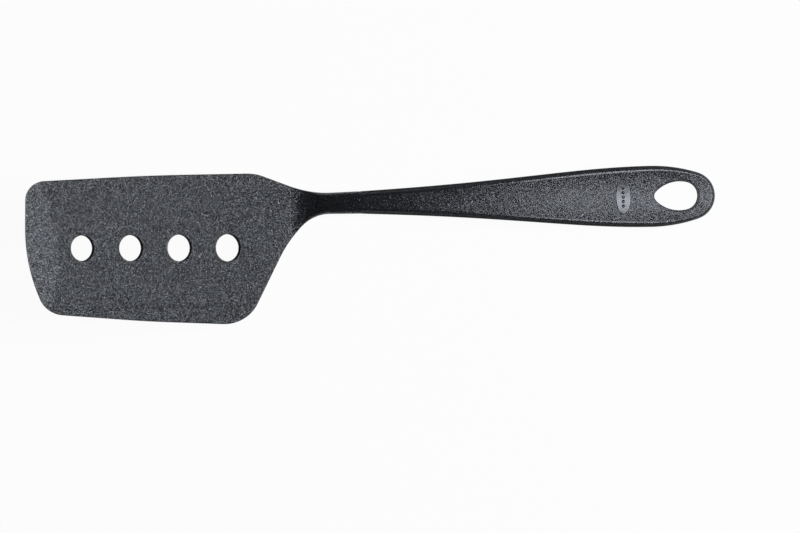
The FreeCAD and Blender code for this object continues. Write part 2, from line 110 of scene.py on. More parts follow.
def beside(knots, distance):
    """Moves a line sideways, to its left when distance is positive."""
    return [(x - distance * math.sin(a), z + distance * math.cos(a), a) for x, z, a in knots]


def bridge(knot, radius, goal):
    """Two arcs from a knot to a goal: a hollow of the given radius, then a crest.

    The centres of touching arcs are as far apart as the sum of the radii.
    With D from the hollow's centre to the goal and m square to the goal's
    heading, that gives the crest's radius (D D - r r) / (2 (r - D m)).
    """
    begin, end, a, b = np.array(knot[:2]), np.array(goal[:2]), knot[2], goal[2]
    hollow = begin + radius * np.array([-math.sin(a), math.cos(a)])
    m = np.array([math.sin(b), -math.cos(b)])
    d = end - hollow
    crest_r = (d @ d - radius ** 2) / (2 * (radius - d @ m))
    line = end + crest_r * m - hollow
    return walk(knot, arc(radius, math.atan2(line[0], -line[1])), arc(crest_r, b))[1:]


def height(knots, x):
    """Height of the line over each x.

    On a straight it grows with the tangent of the heading. On an arc,
    sin b = sin a - (x - x0) / r gives the heading b over x, and the height is
    z0 + r (cos b - cos a).
    """
    x = np.clip(np.asarray(x, float), knots[0][0], knots[-1][0])
    z = np.zeros_like(x)
    for (x0, z0, a), (x1, _, b) in zip(knots, knots[1:]):
        here = (x >= x0) & (x <= x1)
        if abs(b - a) < 1e-9:
            z = np.where(here, z0 + (x - x0) * math.tan(a), z)
        else:
            r = (x1 - x0) / (math.sin(a) - math.sin(b))
            sine = np.clip(math.sin(a) - (x - x0) / r, -1, 1)
            z = np.where(here, z0 + r * (np.sqrt(1 - sine ** 2) - math.cos(a)), z)
    return z


# %% The back line and the face line
TILT, CLIMB = math.radians(30.0), math.radians(33.0)
BLADE_THICK, NECK_THICK = 1.8, 6.2
FRONT_X, JOINT_X, END_X = -119.0, 24.6, 185.0
HEEL_R, NECK_LENGTH, SHOULDER_R = 9.0, 3.0, 60.0
BACK_R, FACE_R = 326.8, 259.0


def settle(knot, radius):
    """The long last arc of the handle, as far as the end of the drawing."""
    return arc(radius, math.asin(math.sin(knot[2]) - (END_X - knot[0]) / radius))


heel = (-HEEL_R * math.sin(TILT), HEEL_R * (1 - math.cos(TILT)), -TILT)
blade_run = (heel[0] - FRONT_X) / math.cos(TILT)
start = (FRONT_X, heel[1] + blade_run * math.sin(TILT), -TILT)
BACK = walk(start, straight(blade_run), arc(HEEL_R, CLIMB), straight(NECK_LENGTH),
            arc(SHOULDER_R, math.radians(8.0)))
BACK = BACK + walk(BACK[-1], settle(BACK[-1], BACK_R))[1:]

slope = TILT - math.radians(0.25)
CREASE_X, CREASE_R, HOLLOW_R = -6.8, 1.0, 17.0
over_blade = beside(BACK, BLADE_THICK)[1]
crease_z = over_blade[1] - (CREASE_X - over_blade[0]) * math.tan(slope)
run = (CREASE_X - FRONT_X) / math.cos(slope)
past_crease = math.radians(-6.0)
lead = CREASE_R * math.tan((slope + past_crease) / 2)
start = (FRONT_X, crease_z + run * math.sin(slope), -slope)
FACE = walk(start, straight(run - lead), arc(CREASE_R, past_crease))
shoulder_end = math.radians(11.8)
centre = np.array(BACK[3][:2]) + SHOULDER_R * np.array([math.sin(CLIMB), -math.cos(CLIMB)])
crest = (-math.sin(shoulder_end), math.cos(shoulder_end))
crest = centre + (SHOULDER_R + NECK_THICK) * np.array(crest)
FACE = FACE + bridge(FACE[-1], HOLLOW_R, (*crest, shoulder_end))
FACE = FACE + walk(FACE[-1], settle(FACE[-1], FACE_R))[1:]
print("face line:", [tuple(np.round((x, z, math.degrees(a)), 1)) for x, z, a in FACE])
print("thickness at the joint %.2f mm, at the hanging hole %.2f mm"
      % tuple(height(FACE, x) - height(BACK, x) for x in (JOINT_X, 165.0)))

# %% [markdown]
# ## Curves in plan
#
# From above the blade is a rounded slanted box with a long hollow curve at
# its rear, and the handle is a slim drop. Both outlines are kept as dense
# lines of points, which are easy to inset, to cut in two and to sample.

# %% Rounded corners and a stiff spline
def rounded(corners, first, last):
    """A line from first to last through corners (x, y, radius), each rounded.

    Each arc starts radius * tan(half the turn) before its corner and swings
    about a centre on the corner's bisector. Returns the points and the number
    of the point in the middle of each arc.
    """
    nodes = np.array([first] + [c[:2] for c in corners] + [last], float)
    radii = [c[2] for c in corners]
    pieces, middles, count = [nodes[:1]], [], 1
    for before, corner, after, radius in zip(nodes, nodes[1:], nodes[2:], radii):
        way_in = (corner - before) / np.linalg.norm(corner - before)
        way_out = (after - corner) / np.linalg.norm(after - corner)
        turn = math.atan2(way_in[0] * way_out[1] - way_in[1] * way_out[0], way_in @ way_out)
        tangent = corner - way_in * radius * math.tan(abs(turn) / 2)
        normal = np.array([-way_in[1], way_in[0]]) * math.copysign(1.0, turn)
        swing = np.linspace(0, abs(turn), 41)[:, None]
        points = tangent + radius * (np.sin(swing) * way_in + (1 - np.cos(swing)) * normal)
        side = np.linspace(pieces[-1][-1], points[0], 60)[1:-1]
        pieces += [side, points]
        middles.append(count + len(side) + len(points) // 2)
        count += len(side) + len(points)
    pieces.append(np.linspace(pieces[-1][-1], nodes[-1], 60)[1:])
    return np.concatenate(pieces), middles


def spline(xs, ys, first_slope, last_slope, x):
    """A smooth curve through the points, with given slopes at both ends.

    The slopes s between the ends solve a small system that makes the bending
    continuous; between two points the curve is a cubic in t = (x - x0) / h.
    """
    xs, ys, n = np.array(xs, float), np.array(ys, float), len(xs)
    h, rise = np.diff(xs), np.diff(ys) / np.diff(xs)
    system, right = np.eye(n), np.zeros(n)
    right[0], right[-1] = first_slope, last_slope
    for k in range(1, n - 1):
        system[k, k - 1:k + 2] = h[k], 2 * (h[k - 1] + h[k]), h[k - 1]
        right[k] = 3 * (h[k] * rise[k - 1] + h[k - 1] * rise[k])
    s = np.linalg.solve(system, right)
    k = np.clip(np.searchsorted(xs, x) - 1, 0, n - 2)
    t = (x - xs[k]) / h[k]
    return (ys[k] * (1 + 2 * t) * (1 - t) ** 2 + ys[k + 1] * t ** 2 * (3 - 2 * t)
            + h[k] * t * (1 - t) * (s[k] * (1 - t) - s[k + 1] * t))


def outward(points, closed=False):
    """Unit normals to the right of a line's direction, from the mean of its two segments."""
    step = np.diff(points, axis=0, append=points[:1] if closed else points[-1:])
    if not closed:
        step[-1] = step[-2]
    step /= np.linalg.norm(step, axis=1)[:, None]
    mean = step + np.roll(step, 1, axis=0)
    if not closed:
        mean[0] = step[0]
    mean /= np.linalg.norm(mean, axis=1)[:, None]
    return np.stack([mean[:, 1], -mean[:, 0]], 1)


def along(line, shares):
    """Points of a line at the given shares of its length."""
    length = np.concatenate([[0], np.cumsum(np.linalg.norm(np.diff(line, axis=0), axis=1))])
    return np.stack([np.interp(shares * length[-1], length, line[:, k]) for k in (0, 1)], 1)


def swept(centre, radius, begin, end, count=160):
    """Points of an arc."""
    swing = np.linspace(begin, end, count)
    return np.array(centre) + radius * np.stack([np.cos(swing), np.sin(swing)], 1)


def ease(t):
    """Smooth step: 0 below 0, 1 above 1, and 3 t^2 - 2 t^3 between."""
    t = np.clip(t, 0, 1)
    return t * t * (3 - 2 * t)


# %% [markdown]
# ## Grids that flow round holes
#
# A flat part with holes could be cut with boolean modifiers, but those leave
# hard edges and thin triangles that shade badly. Here a sheet is one grid of
# rows and columns. Where a hole comes, the grid lines bend so that the border
# of a block of cells becomes the hole's edge, and the block is left out. The
# edges can then be rounded like any other.

# %% Patches, bent blocks and borders
def patch(low, high, first=None, last=None, v=None, fade=34.0):
    """A grid of plan points between two long sides.

    Row i is the straight line from low[i] to high[i]. A curved end adds its
    distance from its own chord, faded out over the first or last rows.
    """
    grid = low[:, None] * (1 - v)[None, :, None] + high[:, None] * v[None, :, None]
    middle = (low + high) / 2
    for end, row in ((first, 0), (last, -1)):
        if end is not None:
            gone = np.linalg.norm(middle - middle[row], axis=1) / fade
            bulge = end - (low[row] * (1 - v)[:, None] + high[row] * v[:, None])
            grid = grid + (1 - ease(gone))[:, None, None] * bulge[None]
    return grid


def around(a, b):
    """Angle of a place on a square ring, so that equal steps along it are equal angles."""
    a, b = np.asarray(a, float), np.asarray(b, float)
    wide = np.abs(a) >= np.abs(b)
    side = np.where(wide, b / np.where(a == 0, 1, a), a / np.where(b == 0, 1, b))
    angle = np.where(wide, np.where(a < 0, math.pi, 0) + side * math.pi / 4,
                     np.where(b > 0, math.pi / 2, 3 * math.pi / 2) - side * math.pi / 4)
    return angle % (2 * math.pi)


def bend_block(grid, centre, half, curve, reach):
    """Bends the grid so that the border of a block becomes a closed curve.

    A vertex on square ring m of the block (m is 1 on the border) heads for m
    times the curve; the pull is full at the border and dies away over the
    reach, in cells to the left, right, below and above.
    """
    i, j = np.indices(grid.shape[:2])
    a, b = (i - centre[0]) / half[0], (j - centre[1]) / half[1]
    ring = np.maximum(np.abs(a), np.abs(b))
    beyond_i = (np.abs(i - centre[0]) - half[0]) / np.where(a < 0, reach[0], reach[1])
    beyond_j = (np.abs(j - centre[1]) - half[1]) / np.where(b < 0, reach[2], reach[3])
    pull = 1 - ease(np.maximum(np.maximum(beyond_i, beyond_j), 0))
    target = curve(around(a, b), np.maximum(ring, 1))
    return grid + pull[..., None] * (target - grid)


def border(i0, i1, j0, j1):
    """Rows and columns of the vertices round a block, against the clock from above."""
    wide, high = i1 - i0, j1 - j0
    i = [np.arange(i0, i1), np.full(high, i1), np.arange(i1, i0, -1), np.full(high, i0)]
    j = [np.full(wide, j0), np.arange(j0, j1), np.full(wide, j1), np.arange(j1, j0, -1)]
    return np.concatenate(i), np.concatenate(j)


def block_of(centre, half):
    """First and last row and column of a block."""
    return centre[0] - half[0], centre[0] + half[0], centre[1] - half[1], centre[1] + half[1]


def edge_of(grid):
    """Rows and columns of a grid's outer vertices, against the clock."""
    return border(0, grid.shape[0] - 1, 0, grid.shape[1] - 1)


def hole_edge(centre, half):
    """Rows and columns of the vertices round a hole's block, with the clock."""
    i, j = border(*block_of(centre, half))
    return i[::-1], j[::-1]


def nearest(grid, x, y):
    """Row and column of the vertex nearest to a place."""
    far = np.hypot(grid[..., 0] - x, grid[..., 1] - y)
    return tuple(int(k) for k in np.unravel_index(np.argmin(far), far.shape))


def open_cells(shape, blocks):
    """True for the cells of a grid that no block (centre, half) takes out."""
    keep = np.ones((shape[0] - 1, shape[1] - 1), bool)
    for block in blocks:
        i0, i1, j0, j1 = block_of(*block)
        keep[i0:i1, j0:j1] = False
    return keep


# %% [markdown]
# ## From grids to a closed skin
#
# A skin collects sheets, and bands that join one row of vertices to the next
# all round an edge. Rows share their vertices, so the skin is closed without
# merging anything afterwards.

# %% The skin
SHARP_FROM = math.radians(38.0)


def placed(name, data):
    """A new object of the scene."""
    made = bpy.data.objects.new(name, data)
    bpy.context.scene.collection.objects.link(made)
    return made


class Skin:
    """Vertices and faces of one closed surface, in drawing millimetres."""

    def __init__(self):
        self.points, self.quads, self.caps, self.shine, self.count = [], [], [], [], 0

    def vertices(self, points, shine=0.0):
        """Adds an array of points and returns their numbers in the same shape.

        Shine is 0 on the grained skin, up to 1 where it is rubbed smooth, and
        -1 on the walls of holes.
        """
        points = np.asarray(points, float)
        numbers = np.arange(self.count, self.count + points[..., 0].size)
        self.points.append(points.reshape(-1, 3))
        self.shine.append(np.broadcast_to(shine, points.shape[:-1]).ravel())
        self.count += numbers.size
        return numbers.reshape(points.shape[:-1])

    def sheet(self, numbers, blocks=(), facing=1):
        """Quads between the rows and columns, but for some blocks, facing up (1) or down (-1)."""
        n = numbers
        quads = np.stack([n[:-1, :-1], n[1:, :-1], n[1:, 1:], n[:-1, 1:]], -1)
        self.quads.append(quads[open_cells(n.shape, blocks)][:, ::facing])

    def sheets(self, top, bottom, top_blocks=(), bottom_blocks=(), shine=0.0):
        """An upper and a lower sheet over two grids of points."""
        upper, lower = self.vertices(top, shine), self.vertices(bottom)
        self.sheet(upper, top_blocks)
        self.sheet(lower, bottom_blocks, facing=-1)
        return upper, lower

    def band(self, rows, closed=True):
        """Quads between successive rows; rows run against the clock, from top to bottom."""
        rows = np.array(rows)
        if closed:
            rows = np.concatenate([rows, rows[:, :1]], 1)
        self.sheet(rows)

    def wall(self, upper, lower, at, steps, shine=0.0):
        """A band from one sheet's edge, at (rows, columns), through steps of points to the other's."""
        self.band([upper[at]] + [self.vertices(points, shine) for points in steps] + [lower[at]])

    def build(self, name, material, wall=None):
        """Makes the object: drops unused vertices, shifts the drawing to the model's place.

        Faces whose vertices all have a shine of -1 are the walls of holes.
        They get the second material, if there is one.
        """
        quads = np.concatenate(self.quads)
        points, shine = np.concatenate(self.points), np.concatenate(self.shine)
        used = np.unique(np.concatenate([quads.ravel()] + [np.array(c) for c in self.caps]))
        renumber = np.zeros(len(points), int)
        renumber[used] = np.arange(len(used))
        mesh = bpy.data.meshes.new(name)
        faces = renumber[quads].tolist() + [renumber[np.array(c)].tolist() for c in self.caps]
        mesh.from_pydata(((points[used] + SHIFT) * MM).tolist(), [], faces)
        mesh.polygons.foreach_set("use_smooth", np.ones(len(faces), bool))
        mesh.attributes.new("shine", "FLOAT", "POINT").data.foreach_set(
            "value", shine[used].astype(np.float32))
        mesh.set_sharp_from_angle(angle=SHARP_FROM)
        mesh.materials.append(material)
        if wall:
            mesh.materials.append(wall)
            inside = shine[quads].max(1) < -0.99
            inside = np.append(inside, np.zeros(len(self.caps), bool))
            mesh.polygons.foreach_set("material_index", inside.astype(np.int32))
        mesh.update()
        piece = placed(name, mesh)
        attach(piece, "root")
        print("%s: %d faces" % (name, len(faces)))
        return piece


def lifted(plan, z):
    """Plan points with a height each."""
    return np.concatenate([plan, np.broadcast_to(z, plan.shape[:-1])[..., None]], -1)


def draped(plan, surface):
    """Plan points laid on a surface z(x, y)."""
    return lifted(plan, surface(plan[..., 0], plan[..., 1]))


def quarter():
    """A quarter round as shares of its radius: (how far out, how far down), from flat to upright."""
    swing = np.linspace(0, math.pi / 2, 6)
    return list(zip(np.sin(swing), 1 - np.cos(swing)))


# %% [markdown]
# ## Glass-filled nylon
#
# The mould is spark eroded, so the plastic has a sandy skin: pits and peaks
# under half a millimetre across that catch the light one by one. A painted
# noise would stay the same under every lamp. Here the noise moves the
# surface's normal, and only a little of it goes into the colour, where the
# glass near the surface is paler than the nylon round it. The `shine` value
# on a piece's vertices marks the rubbed edges, where the grain is worn.
#
# The walls of the holes are another matter. The mould's pins are drawn out
# along them and drag the skin matt. Beyond that they get a nylon with no gloss
# at all, which reflects nothing: painted shade, as dark as the shade in the holes.

# %% The material
def join(tree, kind, inputs=None, **settings):
    """Adds a node, sets its settings, and links or sets its inputs by name or number."""
    made = tree.nodes.new(kind)
    for key, value in settings.items():
        setattr(made, key, value)
    for key, value in (inputs or {}).items():
        if isinstance(value, bpy.types.NodeSocket):
            tree.links.new(value, made.inputs[key])
        else:
            made.inputs[key].default_value = value
    return made


def maths(tree, operation, *values, kind="ShaderNodeMath", **settings):
    """Adds an operation on numbers or sockets and returns its result."""
    return join(tree, kind, dict(enumerate(values)), operation=operation, **settings).outputs[0]


FLECKS = {"From Min": 0.55, "From Max": 0.7}
SWING = {"From Min": 0.3, "From Max": 0.7}
SWING_OF_ROUGHNESS, WALL_ROUGHNESS, NYLON_IOR = 0.06, 0.75, 1.53


def moulded_nylon(name, nylon, glass, grain, lean, roughness, gloss=0.62):
    """Black nylon with an eroded skin: facets grain millimetres across that lean by random angles.

    A noise has a random colour c between 0 and 1 at each place. The normal
    becomes the direction of n + lean (c - 1/2). A second noise makes some
    places smoother, and the highest of them paler. Shine above 0 wears the
    lean down, and shine below 0 makes the skin rougher.
    """
    material = bpy.data.materials.new(name)
    material.use_nodes = True
    tree = material.node_tree
    shader = tree.nodes["Principled BSDF"]
    place = join(tree, "ShaderNodeTexCoord").outputs["Object"]
    wear = join(tree, "ShaderNodeAttribute", attribute_name="shine").outputs["Fac"]
    facets = join(tree, "ShaderNodeTexNoise", {"Vector": place, "Scale": 1000 / grain,
                                               "Detail": 0.5, "Roughness": 0.5})
    vector = {"kind": "ShaderNodeVectorMath"}
    turn = maths(tree, "SUBTRACT", facets.outputs["Color"], (0.5, 0.5, 0.5), **vector)
    left = maths(tree, "SUBTRACT", 1.0, wear, use_clamp=True)
    amount = maths(tree, "MULTIPLY", left, lean)
    turn = join(tree, "ShaderNodeVectorMath", {0: turn, "Scale": amount}, operation="SCALE").outputs[0]
    normal = join(tree, "ShaderNodeNewGeometry").outputs["Normal"]
    normal = maths(tree, "NORMALIZE", maths(tree, "ADD", normal, turn, **vector), **vector)
    tree.links.new(normal, shader.inputs["Normal"])

    dice = join(tree, "ShaderNodeTexNoise", {"Vector": place, "Scale": 900 / grain, "Detail": 0.0})
    dice = dice.outputs["Fac"]
    fleck = join(tree, "ShaderNodeMapRange", {"Value": dice, **FLECKS})
    colour = join(tree, "ShaderNodeMix", {"Factor": fleck.outputs["Result"]}, data_type="RGBA")
    for socket, value in (("A", nylon), ("B", glass)):
        next(s for s in colour.inputs if s.name == socket and s.type == "RGBA").default_value = (*value, 1)
    mixed = next(s for s in colour.outputs if s.type == "RGBA")
    tree.links.new(mixed, shader.inputs["Base Color"])

    swing = SWING_OF_ROUGHNESS * lean
    spread = join(tree, "ShaderNodeMapRange", {"Value": dice, **SWING, "To Min": roughness + swing,
                                               "To Max": roughness - swing})
    matt = maths(tree, "MULTIPLY", maths(tree, "MINIMUM", wear, 0.0), WALL_ROUGHNESS)
    rough = maths(tree, "SUBTRACT", spread.outputs["Result"], matt)
    tree.links.new(rough, shader.inputs["Roughness"])
    shader.inputs["IOR"].default_value = NYLON_IOR
    shader.inputs["Specular IOR Level"].default_value = gloss
    shader.inputs["Specular Tint"].default_value = (0.93, 0.95, 1, 1)
    return material


NYLON, GLASS = (0.0065, 0.0075, 0.0085), (0.04, 0.042, 0.047)
SKIN_OF_HANDLE = moulded_nylon("eroded_nylon", NYLON, GLASS, 0.30, 1.3, 0.22)
SKIN_OF_BLADE = moulded_nylon("eroded_nylon_blade", NYLON, GLASS, 0.4, 1.6, 0.18)
# A copy of the nylon with no gloss for the walls of the holes: painted shade.
MATT_PAINTED_SHADE = moulded_nylon("matt_nylon_painted_shade", NYLON, GLASS, 0.30, 0.4, 0.6, gloss=0.0)
print("materials:", len(bpy.data.materials))

# %% [markdown]
# ## The blade
#
# A thin plate that thickens into the neck. Its outline has ten rounded
# corners, four drain holes run along it, and it thins toward the front edge
# and both sides so that it slides under food. The whole piece is a function
# of two parameters, one from front edge to neck and one from side to side.

# %% Outline of the blade
# Corners as (x, y, radius), from the joint forward and back along the broad side.
BLADE_CORNERS = [
    (1.4, 4.3, 48.0), (-21.2, 13.6, 18.5), (-65.0, 13.7, 900.0), (-117.6, 11.9, 8.4),
    (-118.5, -23.2, 78.0), (-110.1, -45.7, 11.4), (-68.0, -49.8, 450.0),
    (-25.85, -52.25, 15.4), (-8.1, -16.4, 51.0), (2.8, -4.65, 18.0),
]
JOINT_HALF = 4.9


def edge_round(x):
    """How far the rounding of the edges reaches in.

    It is 0.30 mm at the front edge, gains 0.16 mm over the blade's first
    25 mm, and 1.25 mm more over 16 mm of the neck.
    """
    return 0.30 + 0.16 * ease((x - FRONT_X) / 25) + 1.25 * ease((x + 4) / 16)


outline, middles = rounded(BLADE_CORNERS, (JOINT_X, JOINT_HALF), (JOINT_X, -JOINT_HALF))
inner = outline - outward(outline) * edge_round(outline[:, 0])[:, None]
inner[[0, -1], 0] = JOINT_X
front_top, front_bottom = middles[3], middles[5]
high_side, low_side = inner[:front_top + 1][::-1], inner[front_bottom:]
front_line = inner[front_top:front_bottom + 1][::-1]
print("blade %.1f mm wide" % np.ptp(outline[:, 1]))

# %% The blade's grid
# The rows lie closest over the crease at the heel, and the columns at both edges.
PITCH, CORNER_REACH = 23.5, 40.0
row_step = PITCH * math.cos(TILT) / 32
stations = np.concatenate([np.arange(FRONT_X, -8, row_step), np.arange(-8, -4.5, 0.18),
                           np.arange(-4.5, 12, 0.4), np.linspace(12, JOINT_X, 22)])
v = np.concatenate([[0, 0.004, 0.01], np.linspace(0.018, 0.982, 84), [0.99, 0.996, 1]])


def side_points(side):
    """Points of one side at the stations; the first rows gather at the side's own corner."""
    x = stations + (side[0, 0] - stations[0]) * (1 - ease((stations - stations[0]) / CORNER_REACH))
    return np.stack([x, np.interp(x, side[:, 0], side[:, 1])], 1)


plan = patch(side_points(low_side), side_points(high_side), first=along(front_line, v), v=v)

# %% Four drain holes, each a little smaller and nearer the axis than the one behind it
FIRST_DRAIN, DRAIN_R, DRAIN_Y = 38.3, 5.95, -18.5
LIP, DRAIN_HALF, DRAIN_REACH = 0.25, (8, 8), (7, 7, 9, 9)
drains = []
for number in range(4):
    middle = (-(FIRST_DRAIN + PITCH * number) * math.cos(TILT), DRAIN_Y + 0.38 * number)
    drains.append((np.array(middle), nearest(plan, *middle), DRAIN_R - 0.12 * number))


def drain_curve(middle, radius):
    """A drain hole seen from above: a circle in the tilted blade, so an ellipse in plan."""
    return lambda angle, ring: middle + (ring * radius)[..., None] * np.stack(
        [np.cos(angle) * math.cos(TILT), np.sin(angle)], -1)


def with_drains(grid, shift):
    """The grid bent round the drain holes, each moved toward the front by a shift."""
    for middle, near, radius in drains:
        grid = bend_block(grid, near, DRAIN_HALF, drain_curve(middle - shift, radius + LIP), DRAIN_REACH)
    return grid


under_blade = with_drains(plan, np.array([BLADE_THICK * math.sin(TILT), 0.0]))
plan = with_drains(plan, 0.0)
print("blade grid", plan.shape[:2], "holes at rows", [near[0] for _, near, _ in drains])

# %% [markdown]
# The blade isn't flat. Beyond a curved crease it thins toward the front edge,
# and a low step follows each side. These are fractions of a millimetre, but
# they are what the light shows first. Each is a depth taken off the face as a
# function of the distance past its crease.

# %% Thinned edges
FRONT_POLISH = 0.27
FRONT_CREASE_X, FRONT_CREASE_Y, FRONT_CREASE_R = -103.0, -22.0, 72.0
FAR_CREASE_Y, NEAR_CREASE_Y = -42.6, 5.2
STEPS_END, STEPS_FADE = -30.0, 16.0


def past_front(x, y):
    """Distance past the front crease, an arc in the blade's plane."""
    axis = FRONT_CREASE_X - FRONT_CREASE_R * math.cos(slope)
    return FRONT_CREASE_R - np.hypot((x - axis) / math.cos(slope), y - FRONT_CREASE_Y)


def front_thinning(e):
    """Falls 0.034 mm for each millimetre past the crease, and more steeply toward the edge.

    The first 2 mm are a parabola, which rounds the crease.
    """
    e = np.maximum(e, 0)
    soft = np.where(e < 2, e * e / 4, e - 1)
    return 0.034 * soft + 0.0002 * e * e


def far_step(e):
    """On the broad side: 0.30 mm down, half of that up again, then a fall to the edge."""
    e = np.maximum(e, 0)
    return 0.30 * ease(e / 2.2) - 0.15 * ease((e - 2.0) / 2.0) + 0.010 * np.maximum(e - 4.0, 0) ** 2


def near_step(e):
    """On the near side: a slight rise, then a fall to the edge."""
    e = np.maximum(e, 0)
    return -0.05 * ease(e / 4.0) + 0.010 * np.maximum(e - 3.6, 0) ** 2


def blade_top(x, y):
    """The face line less the thinning; the steps along the sides run out before the heel."""
    fade = 1 - ease((x - STEPS_END) / STEPS_FADE)
    return (height(FACE, x) - front_thinning(past_front(x, y))
            - fade * far_step(FAR_CREASE_Y - y) - fade * near_step(y - NEAR_CREASE_Y))


# %% The blade's skin
def rounded_plate(skin, plan, under, top, bottom, out, down, blocks=(), wear=0.0):
    """Two sheets and the rounded rim between them.

    plan and under are the two grids, equal but for the slant of the holes.
    out and down are how far the rim's quarter rounds reach outward and
    downward at each border vertex. Blocks are holes as (middle, half, lip).
    """
    over, below = draped(plan, top), draped(under, bottom)
    holes = [(near, half) for near, half, _ in blocks]
    upper, lower = skin.sheets(over, below, holes, holes, wear)
    edges = [(edge_of(plan), out, down, 0)]
    edges += [(hole_edge(near, half), lip, lip, -1) for near, half, lip in blocks]
    for at, reach, drop, shine in edges:
        normal = outward(plan[at], closed=True)
        drop = np.minimum(drop, 0.48 * (over[at][:, 2] - below[at][:, 2]))
        steps = []
        for points, sign, turn in ((over[at], -1, quarter()[1:]), (below[at], 1, quarter()[:0:-1])):
            for far, deep in turn:
                place = points[:, :2] + normal * np.reshape(far * reach, (-1, 1))
                steps.append(lifted(place, points[:, 2] + sign * deep * drop))
        skin.wall(upper, lower, at, steps, shine)


blade = Skin()
i, j = edge_of(plan)
at_joint = (i == plan.shape[0] - 1) & (j > 0) & (j < plan.shape[1] - 1)
reach = edge_round(plan[i, j, 0])
rounded_plate(blade, plan, under_blade, blade_top, lambda x, y: height(BACK, x),
              np.where(at_joint, 0.0, reach), reach,
              [(near, DRAIN_HALF, LIP) for _, near, _ in drains],
              wear=FRONT_POLISH * ease(past_front(plan[..., 0], plan[..., 1]) / 3))

# %% [markdown]
# ### The tang
#
# The neck goes on inside the handle as a thinner tongue. Nobody sees it in a
# closed handle, but it is part of the same moulding.

# %% The tang: it widens evenly and ends in a half circle
TANG_END, TANG_HALF, TANG_GROWTH = 112.0, 1.7, 2.6
TANG_LIFT, TANG_THICK = 1.9, 2.6
tang_low = beside(BACK, TANG_LIFT)
tang_high = beside(tang_low, TANG_THICK)
far_half = TANG_HALF + TANG_GROWTH
round_x = TANG_END - far_half
x = np.concatenate([np.linspace(JOINT_X - 1.5, round_x, 60),
                    round_x + far_half * np.sin(np.linspace(0, 1.45, 16)[1:])])
half = np.where(x < round_x, TANG_HALF + TANG_GROWTH * (x - JOINT_X) / (round_x - JOINT_X),
                np.sqrt(np.maximum(far_half ** 2 - (x - round_x) ** 2, 0.01)))
tongue = patch(np.stack([x, -half], 1), np.stack([x, half], 1), v=np.linspace(0, 1, 7))
rounded_plate(blade, tongue, tongue, lambda x, y: height(tang_high, x),
              lambda x, y: height(tang_low, x), 0.0, 0.3)
nylon_blade = blade.build("nylon_blade", SKIN_OF_BLADE, MATT_PAINTED_SHADE)
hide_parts("blade_and_tang")

# %% [markdown]
# ## The handle's outline
#
# In plan the handle is a slim drop: a smooth side through five widths, a long
# arc past the widest place and one smaller arc round the tip. Every other
# line of the handle, such as the crease round its face, is this outline moved
# inward, so it is worked out once and offset along its own normals.

# %% Plan of the handle
WIDTHS = [(JOINT_X, JOINT_HALF), (42.4, 5.8), (73.9, 7.85), (105.0, 10.55), (130.0, 12.6), (151.0, 13.3)]
WIDEST_X, WIDEST = WIDTHS[-1]
TIP_RADIUS = 10.6
HANDLE_START = JOINT_X + 0.02

ahead = TIP_X - TIP_RADIUS - WIDEST_X
side_radius = (ahead ** 2 + WIDEST ** 2 - TIP_RADIUS ** 2) / (2 * (WIDEST - TIP_RADIUS))
turn = math.atan2(side_radius - WIDEST, ahead)
x = np.linspace(HANDLE_START, WIDEST_X, 700)
first_slope = (WIDTHS[1][1] - WIDTHS[0][1]) / (WIDTHS[1][0] - WIDTHS[0][0])
side = np.stack([x, spline(*zip(*WIDTHS), first_slope, 0.0, x)], 1)
bend = swept((WIDEST_X, WIDEST - side_radius), side_radius, math.pi / 2, turn, 120)[1:]
tip = swept((TIP_X - TIP_RADIUS, 0.0), TIP_RADIUS, turn, 0, 200)[1:]
upper_side = np.concatenate([side, bend, tip])
handle_outline = np.concatenate([upper_side * (1, -1), upper_side[-2::-1]])
handle_normal = outward(handle_outline)
NARROWING, NARROW_FROM = 0.55, 128.0
print("handle %.1f mm wide" % np.ptp(handle_outline[:, 1]))


def rim_scale(x):
    """The rim keeps its width along the handle and narrows toward the tip."""
    return 1 - NARROWING * np.clip((np.asarray(x) - NARROW_FROM) / (TIP_X - NARROW_FROM), 0, 1) ** 2


def inset(distance):
    """The handle's outline moved inward by a distance that may depend on x."""
    moved = handle_outline - handle_normal * distance(handle_outline[:, 0])[:, None]
    moved[[0, -1], 0] = HANDLE_START
    return moved


# %% The handle's grid
def handle_grid(distance):
    """Rows along the handle and columns across it, inside the inset outline.

    The rows lie closer past x = 130, where the badge and the hole are.
    """
    line = inset(distance)
    swing = np.arctan2(line[:, 1], line[:, 0] - (TIP_X - TIP_RADIUS))
    tip_low = int(np.argmax(swing > -math.pi / 4))
    tip_high = len(line) - 1 - tip_low
    low, high, cap = line[:tip_low + 1], line[tip_high:][::-1], line[tip_low:tip_high + 1]
    rows = np.concatenate([np.linspace(HANDLE_START, 130, 118), np.linspace(130, low[-1, 0], 102)[1:]])
    across = np.concatenate([[0, 0.006, 0.014], np.linspace(0.026, 0.974, 42), [0.986, 0.994, 1]])
    sides = [np.stack([rows, np.interp(rows, s[:, 0], s[:, 1])], 1) for s in (low, high)]
    return patch(*sides, last=along(cap, across), v=across, fade=14.0)


# %% [markdown]
# ## The hanging hole and the dish
#
# The hole is an egg: a small and a larger end arc joined by two long ones.
# The mould opens square to the handle, so the hole leans with it, and its
# wall narrows a little with depth so that the part comes off the pin. The
# face is a shallow dish between two raised edges.

# %% Egg, lean and dish
NOSE_X, NOSE_R, END_CENTRE_X, END_R, LONG_R = 155.1, 3.3, 165.65, 6.6, 15.5
EGG_MIDDLE = np.array([162.2, 0.0])
span = END_CENTRE_X - NOSE_X
shift = ((LONG_R - NOSE_R) ** 2 - (LONG_R - END_R) ** 2 + span ** 2) / (2 * span)
side_centre = np.array([NOSE_X + shift, -math.sqrt((LONG_R - NOSE_R) ** 2 - shift ** 2)])
to_nose = math.atan2(-side_centre[1], NOSE_X - side_centre[0])
to_end = math.atan2(-side_centre[1], END_CENTRE_X - side_centre[0])


